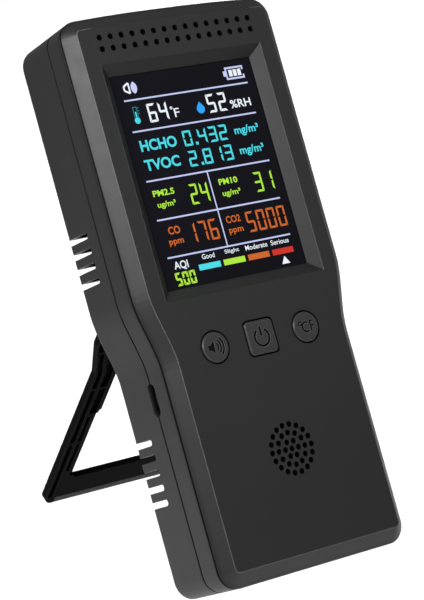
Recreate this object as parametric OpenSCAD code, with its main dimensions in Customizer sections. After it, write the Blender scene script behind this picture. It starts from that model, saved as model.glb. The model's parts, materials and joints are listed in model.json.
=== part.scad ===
// Hand-held air quality monitor, standing on its fold-out stand.
// The case is drawn upright in its own frame: x to the right, y from the face to the back,
// z from the bottom end to the top end. placed() then leans it back on its heel and stand.
// The part's origin is the middle of the heel line, where the case meets the table.

/* [Body] */
// Length of the case from its bottom end to its top end
case_h = 180.6; // [180:0.1:184]
// Width of the head, which holds the screen
head_w = 79.8; // [79:0.1:84]
// Width of the grip, below the screen
grip_w = 71.8; // [71:0.1:75]
// Depth of the case, face to back
case_d = 30.2; // [30.2:0.1:31]
// Depth at which the two half shells meet
seam_y = 12.6; // [12.4:0.1:12.8]
// Width of the open seam line
seam_gap = 0.6; // [0.45:0.05:0.7]
// Bevel around the face, measured sideways
bevel_side = 3.85; // [3:0.05:4.2]
// Bevel around the face, measured in depth
bevel_depth = 3.85; // [3:0.05:4.2]
// Bevel at the top end, measured along the case
bevel_top = 3.9; // [3:0.1:4.5]
// Bevel at the bottom end, measured along the case
bevel_bottom = 4.7; // [3:0.1:5]
// Corner radius of the case outline
corner_r = 6.3; // [5:0.1:7]
// Rise of the curved top edge, from its corners to its middle
top_bow = 0.7; // [0.4:0.1:1]
// Fall of the top end towards the back, in mm per mm of depth
top_slope = 0.05; // [0.02:0.01:0.06]
// Width and depth of the fine groove behind the bevel
groove = 0.7; // [0.5:0.05:0.8]
// Corner radius of the face
face_r = 1.6; // [1:0.1:3]
// Height at which the head starts to narrow into the grip
neck_top = 93.1; // [90:0.1:96]
// Height at which the narrowing ends
neck_bottom = 68.7; // [64:0.1:72]
// Wall thickness of the shells
wall = 2; // [1.8:0.1:2.2]
// Thickness of the face plate
face_t = 3; // [2.8:0.1:3.2]

/* [Screen] */
// Width of the screen opening at the face
window_w = 61.1; // [59:0.1:62]
// Height of the screen opening at the face
window_h = 75.6; // [74:0.1:76]
// Height of the top edge of the screen opening
window_top = 164.35; // [163.5:0.05:164.6]
// How far the sloped rim of the opening runs inwards
window_slope = 3.65; // [2:0.05:4]

/* [Buttons] */
// Height of the row of buttons
button_z = 72.4; // [71:0.1:73]
// Distance between neighbouring buttons
button_pitch = 17.55; // [17:0.05:18]
// Diameter of the two round buttons
button_d = 10; // [9:0.1:10.5]
// Side of the square power button
power_side = 11; // [9:0.1:11]
// How far the buttons stand out of the face
button_proud = 0.5; // [0.2:0.1:0.8]
// Gap around each button
button_gap = 0.3; // [0.25:0.05:0.4]

/* [Grilles] */
// Diameter of the holes above the screen
vent_hole_d = 1.9; // [1.4:0.1:2.1]
// Distance between neighbouring holes above the screen
vent_pitch = 4.055; // [3.8:0.005:4.1]
// Height of the lower row of holes above the screen
vent_row_z = 169.2; // [168.8:0.1:169.6]
// Distance between the two rows
vent_row_gap = 3.7; // [3.4:0.1:3.9]
// Height of the middle of the speaker grille
speaker_z = 36.7; // [35:0.1:38]
// Diameter of the speaker holes
speaker_hole_d = 1.85; // [1.4:0.05:1.9]
// Distance between the rings of speaker holes
speaker_ring = 2.53; // [2.3:0.01:2.6]
// Height of a side vent slot
slot_h = 2.05; // [1.6:0.05:2.4]
// Distance between neighbouring side vent slots
slot_pitch = 4.75; // [4.5:0.05:5]

/* [Stand] */
// Angle that the stand swings out from the back
open_angle = 57.7; // [55:0.1:60]
// Width of the stand below its shoulders
stand_w = 62.4; // [62:0.1:63]
// Width of the stand at its hinge
shoulder_w = 70.1; // [69.8:0.1:70.4]
// Length of the stand from its hinge line to the foot
stand_l = 88.95; // [88.5:0.05:89.1]
// Thickness of the stand
stand_t = 2.45; // [2.3:0.05:2.6]
// Height of the hinge line
hinge_z = 90.4; // [90.2:0.1:90.6]
// Radius of the hinge barrel
barrel_r = 1.35; // [1.3:0.05:1.4]
// Diameter of the steel hinge pins
pin_d = 1.2; // [1:0.1:1.3]

/* [Hidden] */
$fn = 48;

// Steps in the rounded corners and in the neck curve
corner_steps = 8;
neck_steps = 12;
crown_steps = 5;
// Slope of the groove's walls
groove_draft = 0.05;
// Clear gap kept between parts that move past each other
gap = 0.35;
// Small overlap that lets cuts and joined blocks run through
eps = 0.1;

// Foot and heel: both meet the table at the same distance from their edge centres
contact_r = 1.5;
heel_half_facet = 15;
heel_r = contact_r / cos(heel_half_facet);
heel_c = [case_d - heel_r, heel_r];
hinge_y = case_d - barrel_r;
foot_inset = 0.95;
foot_local = [0.25, -stand_l + foot_inset];
foot_c = [
    hinge_y + foot_local[0] * cos(open_angle) - foot_local[1] * sin(open_angle),
    hinge_z + foot_local[0] * sin(open_angle) + foot_local[1] * cos(open_angle)
];
lean = atan2(foot_c[1] - heel_c[1], foot_c[0] - heel_c[0]);

// Screen stack, front to back
window_z = window_top - window_h / 2;
glass_w = window_w - 2 * window_slope;
glass_h = window_h - 2 * window_slope;
lens_w = 59;
lens_h = 73.5;
tape_y = face_t + 0.2;
lens_y = tape_y + 1.2;
panel_y = lens_y + 0.05;
panel_t = 1.8;
tray_t = 2.85;

// Boards
board_y = 9.4;
board_t = 1.6;
board_back = board_y + board_t;
main_board_z = [20, 97];
sensor_board_z = [100.5, 166.5];
main_posts = [[27, 24], [27, 84]];
sensor_posts = [[33.2, 124], [33.2, 160]];
case_screw_spots = [[33.3, 171], [27, 9.5]];
screw_seat = 25.25;

// Inside of the rear shell
recess_y = hinge_y - (stand_t - barrel_r) - gap;
floor_y = 25.1;
deep_y = 28.1;
pocket_wall_y = floor_y - 1.8;
island_z = [26, 86];
island_x = 19.5;
head_cavity_z = 97.5;

// Sound, USB and vents
power_r = 1.4;
speaker_y = 3.4;
usb_z = 61.7;
usb_y = board_back + 1.63;
usb_long = 10.5;
usb_wide = 3.7;
upper_slot_z = 116.3;
lower_slot_z = 49.9;
fan_x = -11.5;
fan_z = 117.5;

// Stand outline
stand_corner = 4;
inner_corner = 1.5;
flare_from = 10.8;
flare_to = 25.1;
step_s = 45;
leg_wide = 13.55;
leg_narrow = 8.25;
bar_s = 77.7;
pad_half_w = 27;
pad_flat = 0.3;
pad_reach = 0.7;
rim_w = 0.8;
rib_w = 1.2;
rib_t = 0.9;
bar_rim = 4.7;
channel_w = 1.95;
flange_w = 1.95;
flange_rim = 0.9;
skin_t = 0.95;
rib_spots = [3.2, 14.5, 32.3, 58.7, 86.4];
lug_x = [28.6, 31.6];
lug_l = 3.2;

// ---------- shared shapes ----------

function smooth(t) = t * t * (3 - 2 * t);

function arc(c, r, a0, a1, n) =
    [for (i = [0:n]) c + r * [cos(a0 + (a1 - a0) * i / n), sin(a0 + (a1 - a0) * i / n)]];

function mirrored(pts) = [for (i = [len(pts) - 1:-1:0]) [-pts[i][0], pts[i][1]]];

function both_sides(right) = concat(right, mirrored(right));

// Outline of the case, moved inwards at the sides, the top and the bottom
function case_ring(side, top, bottom, r) =
    let (
        head = head_w / 2 - side,
        grip = grip_w / 2 - side,
        neck = [for (i = [0:neck_steps]) [
            grip + (head - grip) * smooth(i / neck_steps),
            neck_bottom + (neck_top - neck_bottom) * i / neck_steps
        ]]
    )
    both_sides(concat(
        arc([grip - r, bottom + r], r, -90, 0, corner_steps),
        neck,
        arc([head - r, case_h - top - top_bow - r], r, 0, 90, corner_steps),
        [for (i = [1:crown_steps]) [
            (head - r) * (1 - i / (crown_steps + 1)),
            case_h - top - top_bow * pow(1 - i / crown_steps, 2)
        ]]
    ));

// How much lower the top end is at a depth than at the bevel
function top_fall(y) = top_slope * max(y - bevel_depth, 0);

// Outline at the depth y, moved inwards by d all round
function inset_ring(d, y) = case_ring(d, d + top_fall(y), d, max(corner_r - d, 0.4));

function rounded_square(side, r) =
    both_sides(concat(
        arc([side / 2 - r, -side / 2 + r], r, -90, 0, 6),
        arc([side / 2 - r, side / 2 - r], r, 0, 90, 6)
    ));

// Solid skinned over rings of the same number of points, each at its own depth
module loft(depths, rings) {
    n = len(rings[0]);
    m = len(depths);
    points = [for (k = [0:m - 1]) for (p = rings[k]) [p[0], depths[k], p[1]]];
    sides = [
        for (k = [0:m - 2]) for (i = [0:n - 1])
        let (a = k * n + i, b = k * n + (i + 1) % n)
        for (face = [[a, b, b + n], [a, b + n, a + n]]) face
    ];
    caps = [[for (i = [n - 1:-1:0]) i], [for (i = [0:n - 1]) (m - 1) * n + i]];
    polyhedron(points, concat(sides, caps));
}

// Ring that lies on the straight lines through the points of a and b: a at t = 0 and b at t = 1
function ring_at(a, b, t) = [for (i = [0:len(a) - 1]) a[i] + (b[i] - a[i]) * t];

// What of its children lies between two depths
module kept_between(y0, y1) intersection() {
    children();
    block(-head_w, head_w, y0, y1, -case_h, 2 * case_h);
}

// A flat shape in x and z, between two depths
module slab(y0, y1) translate([0, y1, 0]) rotate([90, 0, 0]) linear_extrude(y1 - y0) children();

// A flat shape in y and z, between two places across the width
module across(x0, x1) translate([x0, 0, 0]) rotate([90, 0, 90]) linear_extrude(x1 - x0) children();

module rod_y(x, z, y0, y1, r) translate([x, y1, z]) rotate([90, 0, 0]) cylinder(h = y1 - y0, r = r);

module rod_x(y, z, x0, x1, r) translate([x0, y, z]) rotate([0, 90, 0]) cylinder(h = x1 - x0, r = r);

module block(x0, x1, y0, y1, z0, z1) translate([x0, y0, z0]) cube([x1 - x0, y1 - y0, z1 - z0]);

module centred_block(w, h, y0, y1, x, z) block(x - w / 2, x + w / 2, y0, y1, z - h / 2, z + h / 2);

module pair() {
    children();
    mirror([1, 0, 0]) children();
}

// From the case's own frame to the table
module placed() translate([0, 0, contact_r]) rotate([-lean, 0, 0])
    translate([0, -heel_c[0], -heel_c[1]]) children();

// From the stand's hinge frame, where it hangs straight down, to its open place
module stand_placed() placed() translate([0, hinge_y, hinge_z]) rotate([open_angle, 0, 0]) children();

// ---------- shells ----------

module window_cut() {
    function frame(w, h) = [for (c = [[1, -1], [1, 1], [-1, 1], [-1, -1]])
        [c[0] * w / 2, window_z + c[1] * h / 2]];
    over = eps / face_t;
    loft(
        [-eps, face_t + eps],
        [frame(window_w + 2 * window_slope * over, window_h + 2 * window_slope * over),
         frame(glass_w - 2 * window_slope * over, glass_h - 2 * window_slope * over)]
    );
}

module screen_fence() {
    fence_w = lens_w + 0.6;
    fence_h = lens_h + 0.6;
    fence_t = 1.3;
    fence_y = face_t + 4.6;
    ribbon_w = 19;
    difference() {
        centred_block(fence_w + 2 * fence_t, fence_h + 2 * fence_t, face_t - eps, fence_y, 0, window_z);
        centred_block(fence_w, fence_h, face_t - 2 * eps, fence_y + eps, 0, window_z);
        centred_block(ribbon_w, 6, face_t + 1.4, fence_y + eps, 0, window_z - fence_h / 2 - 2);
    }
}

module button_guides() {
    guide_y = face_t + 2;
    pair() difference() {
        rod_y(button_pitch, button_z, face_t - eps, guide_y, button_d / 2 + 2.25);
        rod_y(button_pitch, button_z, face_t - 2 * eps, guide_y + eps, button_d / 2 + 1.25);
    }
    difference() {
        translate([0, 0, button_z]) slab(face_t - eps, guide_y) polygon(rounded_square(power_side + 4.2, 3.5));
        translate([0, 0, button_z]) slab(face_t - 2 * eps, guide_y + eps)
            polygon(rounded_square(power_side + 2.4, 2.8));
    }
}

module grille_holes() {
    for (row = [0:1]) for (i = [-7:7])
        rod_y(i * vent_pitch, vent_row_z + row * vent_row_gap, -eps, face_t + eps, vent_hole_d / 2);
    for (ring = [0:3]) for (k = [0:max(6 * ring - 1, 0)])
        rod_y(
            ring * speaker_ring * cos(k * 360 / max(6 * ring, 1)),
            speaker_z + ring * speaker_ring * sin(k * 360 / max(6 * ring, 1)),
            -eps, face_t + eps, speaker_hole_d / 2
        );
}

module usb_cut() {
    reach = grip_w / 2 + 1;
    straight = (usb_long - usb_wide) / 2;
    for (s = [-1, 1]) rod_x(usb_y, usb_z + s * straight, -reach, -reach + 5, usb_wide / 2);
    block(-reach, -reach + 5, usb_y - usb_wide / 2, usb_y + usb_wide / 2, usb_z - straight, usb_z + straight);
}

module front_shell() color([0.21, 0.21, 0.215]) placed() {
    end_y = seam_y - seam_gap / 2;
    lip_y = end_y - 1.8;
    lip_t = wall / 2;
    over = 0.3;
    face_ring = case_ring(bevel_side, bevel_top, bevel_bottom, face_r);
    // Depth behind the bevel and inset of the outside, and depth and inset of the inside
    outside = [[0, 0], [groove_draft, groove], [groove - groove_draft, groove], [groove, 0]];
    inside = [[face_t, wall + 1.8], [face_t + 2, wall], [lip_y, wall], [lip_y, lip_t], [end_y + 1, lip_t]];
    difference() {
        union() {
            difference() {
                kept_between(0, end_y) loft(
                    concat([-over], [for (k = outside) bevel_depth + k[0]], [end_y + 1]),
                    concat(
                        [ring_at(face_ring, inset_ring(0, bevel_depth), -over / bevel_depth)],
                        [for (k = outside) inset_ring(k[1], bevel_depth + k[0])],
                        [inset_ring(0, end_y + 1)]
                    )
                );
                loft(
                    [for (k = inside) k[0]],
                    [for (k = inside) inset_ring(k[1], k[0])]
                );
            }
            screen_fence();
            button_guides();
            pair() for (p = main_posts) rod_y(p[0], p[1], face_t - eps, board_y, 2.5);
            pair() for (p = case_screw_spots) rod_y(p[0], p[1], face_t - eps, end_y, 2.8);
        }
        window_cut();
        grille_holes();
        usb_cut();
        pair() rod_y(button_pitch, button_z, -eps, face_t + eps, button_d / 2 + button_gap);
        translate([0, 0, button_z]) slab(-eps, face_t + eps)
            polygon(rounded_square(power_side + 2 * button_gap, power_r + button_gap));
        pair() for (p = main_posts) rod_y(p[0], p[1], 5, board_y + eps, 1.05);
        pair() for (p = case_screw_spots) rod_y(p[0], p[1], 7.5, end_y + eps, 1.3);
    }
}

// One side vent slot, cut round the back corner of the case, on the left
module side_slot(half_w, z, front_y, reach) {
    r = slot_h / 2;
    end_x = half_w - reach;
    block(-half_w - 1, -end_x - r, front_y + r, case_d + 1, z - r, z + r);
    rod_x(front_y + r, z, -half_w - 1, -end_x - r, r);
    rod_y(-end_x - r, z, front_y + r, case_d + 1, r);
}

module side_slots() pair() {
    for (i = [0:3]) side_slot(head_w / 2, upper_slot_z - i * slot_pitch, 18.2, 8.6);
    for (i = [0:4]) side_slot(grip_w / 2, lower_slot_z - i * slot_pitch, 20.3, 7);
}

module outlet_slots() {
    outlet_r = 12;
    slot_r = 1;
    for (i = [-2.5:1:2.5]) {
        z = fan_z + i * 4;
        half = sqrt(outlet_r * outlet_r - i * i * 16) - slot_r;
        block(fan_x - half, fan_x + half, deep_y - eps, case_d + eps, z - slot_r, z + slot_r);
        for (s = [-1, 1]) rod_y(fan_x + s * half, z, deep_y - eps, case_d + eps, slot_r);
    }
}

// Outline of the stand in x and z, hanging from its hinge line and grown by g
function stand_outline(g, top) =
    let (half = stand_w / 2 + g, shoulder = shoulder_w / 2 + g, r = stand_corner + g)
    both_sides(concat(
        arc([half - r, -stand_l - g + r], r, -90, 0, corner_steps),
        [[half, -flare_to], [shoulder, -flare_from], [shoulder, top],
         [shoulder_w / 2 - leg_wide - g, top], [shoulder_w / 2 - leg_wide - g, -step_s],
         [stand_w / 2 - leg_narrow - g, -step_s - 0.6]],
        [for (p = arc([0, 0], inner_corner, 0, -90, 5))
            [stand_w / 2 - leg_narrow - g - inner_corner + p[0], -bar_s + g + inner_corner + p[1]]]
    ));

module stand_recess() {
    stop_gap = 0.1;
    inner = stand_t - barrel_r;
    reach_r = norm([lug_l, inner]) + gap;
    back_angle = 90 + open_angle + atan2(inner + stop_gap, lug_l + gap);
    translate([0, 0, hinge_z]) slab(recess_y, case_d + 1) polygon(stand_outline(gap, barrel_r + gap));
    block(-pad_half_w - gap, pad_half_w + gap, recess_y, case_d + 1,
        hinge_z - stand_l - pad_reach, hinge_z - stand_l + 1);
    pair() {
        rod_x(hinge_y, hinge_z, shoulder_w / 2 - leg_wide - gap, shoulder_w / 2 + gap, barrel_r + gap);
        translate([0, hinge_y, hinge_z]) across(lug_x[0] - gap, lug_x[1] + gap) polygon(concat(
            [[barrel_r + 1, -1], -(inner + stop_gap) * [cos(open_angle), sin(open_angle)]],
            arc([0, 0], reach_r, back_angle, 90, 8),
            [[barrel_r + 1, reach_r]]
        ));
    }
}

module rear_cavity() {
    slab(seam_y - eps, floor_y) polygon(inset_ring(wall, floor_y));
    intersection() {
        slab(floor_y - 1, deep_y) polygon(inset_ring(wall, deep_y));
        block(-head_w, head_w, 0, case_d, head_cavity_z, case_h);
    }
    block(-island_x, island_x, floor_y - 1, deep_y, island_z[0], island_z[1]);
}

module rear_shell() color([0.21, 0.21, 0.215]) placed() {
    start = seam_y + seam_gap / 2;
    over = 0.05;
    edge = function(a) heel_r * (1 - cos(a));
    deep = function(a) heel_c[0] + heel_r * sin(a);
    bends = [lean - heel_half_facet, lean + heel_half_facet, 72];
    // Depth and inset of the outside
    outside = concat(
        [[start - 1, 0], [heel_c[0], 0]],
        [for (a = bends) [deep(a), edge(a)]],
        [[case_d + over, heel_r + 2 * over]]
    );
    boss_end = [deep_y, floor_y];
    difference() {
        union() {
            difference() {
                kept_between(start, case_d) loft(
                    [for (k = outside) k[0]],
                    [for (k = outside) inset_ring(k[1], k[0])]
                );
                rear_cavity();
            }
            difference() {
                slab(start - 1.45, start + 1) polygon(inset_ring(wall / 2 + 0.15, start));
                slab(start - 1.5, start + 2) polygon(inset_ring(wall, start));
            }
            pair() for (i = [0:1])
                rod_y(case_screw_spots[i][0], case_screw_spots[i][1], start, boss_end[i] + eps, 3.7);
            pair() for (p = sensor_posts) rod_y(p[0], p[1], board_back, deep_y + eps, 2.4);
            pair() block(26.5, 33.7, pocket_wall_y, floor_y + eps, hinge_z - 2.5, hinge_z + 5.4);
        }
        stand_recess();
        side_slots();
        outlet_slots();
        usb_cut();
        rod_y(0, hinge_z - bar_s + gap, recess_y, case_d + 1, 8.5);
        pair() for (p = case_screw_spots) {
            rod_y(p[0], p[1], start - eps, case_d, 1.45);
            rod_y(p[0], p[1], screw_seat, case_d + 1, 2.6);
        }
        pair() for (p = sensor_posts) rod_y(p[0], p[1], board_back - eps, 17, 1.05);
        pair() rod_x(hinge_y, hinge_z, 15, 38.4, pin_d / 2);
        block(-16.4, 16.4, floor_y - eps, hinge_y + pin_d / 2, hinge_z - 0.9, hinge_z + 0.9);
    }
}

// ---------- grille cloths ----------

module grille_mesh() color([0.12, 0.12, 0.12]) placed()
    centred_block(60, 8.4, face_t + 0.02, face_t + 0.3, 0, vent_row_z + vent_row_gap / 2);

module speaker_mesh() color([0.12, 0.12, 0.12]) placed()
    rod_y(0, speaker_z, face_t + 0.02, face_t + 0.3, 9.4);

module outlet_mesh() color([0.35, 0.35, 0.36]) placed() rod_y(fan_x, fan_z, deep_y - 0.35, deep_y - 0.02, 13.2);

// ---------- screen ----------

module lens_tape() color([0.05, 0.05, 0.05]) placed() difference() {
    centred_block(lens_w, lens_h, face_t + 0.01, tape_y, 0, window_z);
    centred_block(glass_w + 0.8, glass_h + 0.8, face_t - eps, tape_y + eps, 0, window_z);
}

module screen_lens() color([0.03, 0.03, 0.05]) placed()
    centred_block(lens_w, lens_h, tape_y, lens_y, 0, window_z);

module lcd_panel() color([0.1, 0.1, 0.16]) placed()
    centred_block(lens_w - 2.5, lens_h - 2.5, panel_y, panel_y + panel_t, 0, window_z);

module lcd_tray() color([0.85, 0.85, 0.85]) placed() difference() {
    centred_block(lens_w - 0.1, lens_h - 0.1, panel_y, panel_y + tray_t, 0, window_z);
    centred_block(lens_w - 1.9, lens_h - 1.9, panel_y - eps, panel_y + panel_t + 0.1, 0, window_z);
    centred_block(17.2, 4, panel_y - eps, panel_y + 1.3, 0, window_z - lens_h / 2);
}

module lcd_ribbon() color([0.75, 0.45, 0.12]) placed() {
    t = 0.3;
    top_z = window_z - lens_h / 2 + 1.2;
    front = panel_y + 0.3;
    back = board_y - 1.35;
    bend_z = [top_z - 2.8, top_z - 6.8];
    across(-8, 8) polygon([
        [front, top_z], [front, bend_z[0]], [back, bend_z[1]], [back, bend_z[1] - 3.4],
        [back + t, bend_z[1] - 3.4], [back + t, bend_z[1] + 0.1], [front + t, bend_z[0] + 0.1], [front + t, top_z]
    ]);
}

// ---------- buttons ----------

flange_y = face_t + 0.35;
flange_t = 0.8;
stem_end = flange_y + flange_t + 0.65;
switch_top = stem_end + 0.9;

module round_button(x) {
    r = button_d / 2;
    translate([x, -button_proud, button_z]) rotate([-90, 0, 0]) {
        cylinder(h = 0.4, r1 = r - 0.4, r2 = r);
        translate([0, 0, 0.4]) cylinder(h = flange_y + button_proud - 0.4 + eps, r = r);
    }
    rod_y(x, button_z, flange_y, flange_y + flange_t, r + 0.8);
    rod_y(x, button_z, flange_y + flange_t - eps, stem_end, 2);
}

module button_sound() color([0.2, 0.2, 0.205]) placed() round_button(-button_pitch);

module button_unit() color([0.2, 0.2, 0.205]) placed() round_button(button_pitch);

module button_power() color([0.2, 0.2, 0.205]) placed() translate([0, 0, button_z]) {
    slab(-button_proud, flange_y + eps) polygon(rounded_square(power_side, power_r));
    slab(flange_y, flange_y + flange_t) polygon(rounded_square(power_side + 1.6, 2.4));
    rod_y(0, 0, flange_y + flange_t - eps, stem_end, 2);
}

module tact_switches() color([0.75, 0.75, 0.76]) placed() for (i = [-1:1]) {
    centred_block(6, 6, switch_top + 0.9, board_y, i * button_pitch, button_z);
    rod_y(i * button_pitch, button_z, switch_top, switch_top + 1, 1.6);
}

// ---------- grip electronics ----------

module main_board() color([0.05, 0.3, 0.16]) placed() difference() {
    block(-31, 31, board_y, board_back, main_board_z[0], main_board_z[1]);
    pair() for (p = main_posts) rod_y(p[0], p[1], board_y - eps, board_back + eps, 1.15);
}

module board_parts() color([0.12, 0.12, 0.13]) placed() {
    block(3, 13, board_back, board_back + 1.2, 40, 50);
    block(-12, -7, board_back, board_back + 1, 66, 71);
    rod_y(-20, 50, board_back, board_back + 3, 3);
    block(16, 22, board_back, board_back + 3, 86, 90.4);
    block(-9, 9, board_y - 1, board_y, 80.4, 83.4);
    for (i = [0:3]) block(-24 + i * 4, -22 + i * 4, board_back, board_back + 0.8, 36, 37.2);
}

module usb_socket() color([0.7, 0.7, 0.72]) placed() difference() {
    shell_r = 1.6;
    straight = 8.9 / 2 - shell_r;
    mouth_x = -grip_w / 2 + 1;
    union() {
        for (s = [-1, 1]) rod_x(usb_y, usb_z + s * straight, mouth_x, mouth_x + 7.3, shell_r);
        block(mouth_x, mouth_x + 7.3, usb_y - shell_r, usb_y + shell_r, usb_z - straight, usb_z + straight);
    }
    for (s = [-1, 1]) rod_x(usb_y, usb_z + s * straight, mouth_x - eps, mouth_x + 6, shell_r - 0.3);
    block(mouth_x - eps, mouth_x + 6, usb_y - shell_r + 0.3, usb_y - 0.35, usb_z - straight, usb_z + straight);
    block(mouth_x - eps, mouth_x + 6, usb_y + 0.35, usb_y + shell_r - 0.3, usb_z - straight, usb_z + straight);
}

battery_y = [15.7, 27.7];
battery_z = [27.2, 82];

module battery() color([0.62, 0.64, 0.68]) placed()
    block(-18.8, 18.8, battery_y[0], battery_y[1], battery_z[0], battery_z[1]);

module battery_foam() color([0.1, 0.1, 0.1]) placed() for (z = [34, 66])
    block(-16, 16, battery_y[1] + 0.02, deep_y - 0.02, z, z + 9);

module battery_lead() color([0.75, 0.1, 0.08]) placed() for (i = [0:1]) {
    x = 18 + i * 2;
    lead_r = 0.6;
    rod_y(x, 88.2, board_back + 3.05, 20, lead_r);
    translate([x, 20, 88.2]) sphere(lead_r);
    translate([x, 20, 85]) cylinder(h = 3.2, r = lead_r);
    rod_x(20, 85, 17.6, x, lead_r);
    translate([x, 20, 85]) sphere(lead_r);
    block(17, 17.8, 19.2, 20.8, 82.02, 85.6);
}

module speaker() color([0.25, 0.25, 0.26]) placed() difference() {
    rod_y(0, speaker_z, speaker_y, speaker_y + 4.2, 10.4);
    rod_y(0, speaker_z, speaker_y - eps, speaker_y + 1, 8.6);
}

// ---------- sensors in the head ----------

module sensor_board() color([0.05, 0.3, 0.16]) placed() difference() {
    block(-35.4, 35.4, board_y, board_back, sensor_board_z[0], sensor_board_z[1]);
    pair() for (p = sensor_posts) rod_y(p[0], p[1], board_y - eps, board_back + eps, 1.15);
}

module board_link() color([0.85, 0.83, 0.78]) placed() {
    block(-9, 9, board_back, board_back + 2, 94.2, 96.6);
    block(-9, 9, board_back, board_back + 2, 100.7, 102.8);
    block(-9, 9, board_back + 2 - eps, board_back + 2.3, 94.2, 102.8);
}

pm_y = [board_back + 0.2, 23.7];
pm_floor = 15;

module pm_case() color([0.16, 0.17, 0.2]) placed() difference() {
    block(-29, 7, pm_y[0], pm_y[1], 103.2, 137);
    rod_y(fan_x, fan_z, pm_floor, pm_y[1] + eps, 11.2);
    block(-27.5, fan_x - 9, 16, 22, 124, 128.5);
    block(-27.5, -24, 16, 22, 128, 137 + eps);
    rod_x(19, 133, -22, -11.8, 2.7);
    block(-11.9, -2, 16, 22, 130.6, 135.4);
    block(-9.5, -5.5, 16, 22, 127, 131);
    rod_y(fan_x, fan_z, 13, pm_floor + eps, 1);
}

module pm_cover() color([0.68, 0.69, 0.7]) placed() difference() {
    block(-29, 7, pm_y[1] + 0.02, pm_y[1] + 0.6, 103.2, 137);
    difference() {
        rod_y(fan_x, fan_z, pm_y[1] - eps, pm_y[1] + 1, 10.2);
        rod_y(fan_x, fan_z, pm_y[1] - 2 * eps, pm_y[1] + 1 + eps, 4.4);
        for (k = [0:2]) translate([fan_x, 0, fan_z]) rotate([0, 60 + 120 * k, 0])
            block(-0.8, 0.8, pm_y[1] - 2 * eps, pm_y[1] + 1 + eps, 0, 11);
    }
}

module pm_fan_rotor() color([0.1, 0.1, 0.11]) placed() difference() {
    union() {
        rod_y(fan_x, fan_z, 16.2, 21.8, 4.2);
        for (k = [0:6]) translate([fan_x, 19, fan_z]) rotate([0, 360 / 7 * k, 0])
            rotate([0, 0, 32]) block(-0.45, 0.45, -2.6, 2.6, 0, 9.7);
    }
    rod_y(fan_x, fan_z, 16.1, 21.9, 1.05);
}

module pm_fan_shaft() color([0.72, 0.72, 0.74]) placed() rod_y(fan_x, fan_z, 13.05, 22.6, 1);

module pm_laser() color([0.78, 0.62, 0.3]) placed() rod_x(19, 133, -21, -12.4, 2.6);

module co2_cell() color([0.8, 0.66, 0.28]) placed() block(10.6, 30.4, board_back, 19.8, 104, 137);

module co2_filter() color([0.92, 0.92, 0.92]) placed() block(13.6, 27.4, 19.8, 20.3, 110, 131);

module co_cell() color([0.85, 0.85, 0.86]) placed() {
    rod_y(17.5, 152, board_back, 20, 9.6);
    rod_y(17.5, 152, 20 - eps, 20.6, 4);
}

module hcho_cell() color([0.2, 0.22, 0.3]) placed() {
    rod_y(-18.5, 152, board_back, 17.2, 8);
    rod_y(-18.5, 152, 17.1, 17.8, 5.5);
}

module tvoc_can() color([0.74, 0.74, 0.75]) placed() {
    rod_y(-1, 149, board_back, 15.2, 4.6);
    rod_y(-1, 149, board_back, board_back + 0.6, 5.2);
}

module humidity_chip() color([0.9, 0.9, 0.9]) placed() difference() {
    block(-3, 3, board_back, board_back + 2.6, 158, 164);
    rod_y(0, 161, board_back + 1.6, board_back + 2.6 + eps, 1.3);
}

// ---------- screws ----------

module screw(x, z, seat, tip, shank_r, head_r, head_t, facing) {
    lo = facing > 0 ? seat : seat - head_t;
    hi = facing > 0 ? seat + head_t : seat;
    slot_at = facing > 0 ? hi - 0.7 : lo - eps;
    difference() {
        union() {
            rod_y(x, z, min(seat, tip), max(seat, tip), shank_r);
            rod_y(x, z, lo, hi, head_r);
        }
        for (w = [[head_r, 0.3], [0.3, head_r]])
            centred_block(1.1 * w[0], 1.1 * w[1], slot_at, slot_at + 0.7 + eps, x, z);
    }
}

module board_screws() color([0.75, 0.75, 0.77]) placed() {
    for (s = [-1, 1]) for (p = main_posts)
        screw(s * p[0], p[1], board_back, 6, 1, 1.9, 1.3, 1);
    for (s = [-1, 1]) for (p = sensor_posts)
        screw(s * p[0], p[1], board_y, 14.4, 1, 1.9, 1.3, -1);
}

module case_screws() color([0.3, 0.3, 0.31]) placed() for (s = [-1, 1]) for (p = case_screw_spots)
    screw(s * p[0], p[1], screw_seat, 8.2, 1.25, 2.3, 1.9, 1);

// ---------- stand ----------

// Outer edge of a leg at the distance s from the hinge line
function leg_edge(s) =
    s < flare_from ? shoulder_w / 2
    : s < flare_to ? shoulder_w / 2 + (stand_w - shoulder_w) / 2 * (s - flare_from) / (flare_to - flare_from)
    : stand_w / 2;

// Inner edge of a leg at the distance s from the hinge line
function leg_inside(s) = s < step_s ? shoulder_w / 2 - leg_wide : stand_w / 2 - leg_narrow;

// Stretch of channel between two ribs, as a flat shape with its outer edge `out` from the leg's edge
function channel(a, b, out, width) =
    let (spots = concat([a], [for (k = [flare_from, flare_to]) if (k > a && k < b) k], [b]))
    concat(
        [for (s = spots) [leg_edge(s) - out, -s]],
        [for (i = [len(spots) - 1:-1:0]) [leg_edge(spots[i]) - out - width, -spots[i]]]
    );

// Stretch of the inner channel, between the middle rib and the inner rib
function inner_channel(a, b) =
    let (
        out = rim_w + channel_w + rib_w,
        spots = concat([a], [for (k = [flare_from, flare_to]) if (k > a && k < b) k], [b])
    )
    concat(
        [for (s = spots) [leg_edge(s) - out, -s]],
        [[leg_inside(b - 0.01) + flange_w + flange_rim, -b], [leg_inside(a) + flange_w + flange_rim, -a]]
    );

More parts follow.
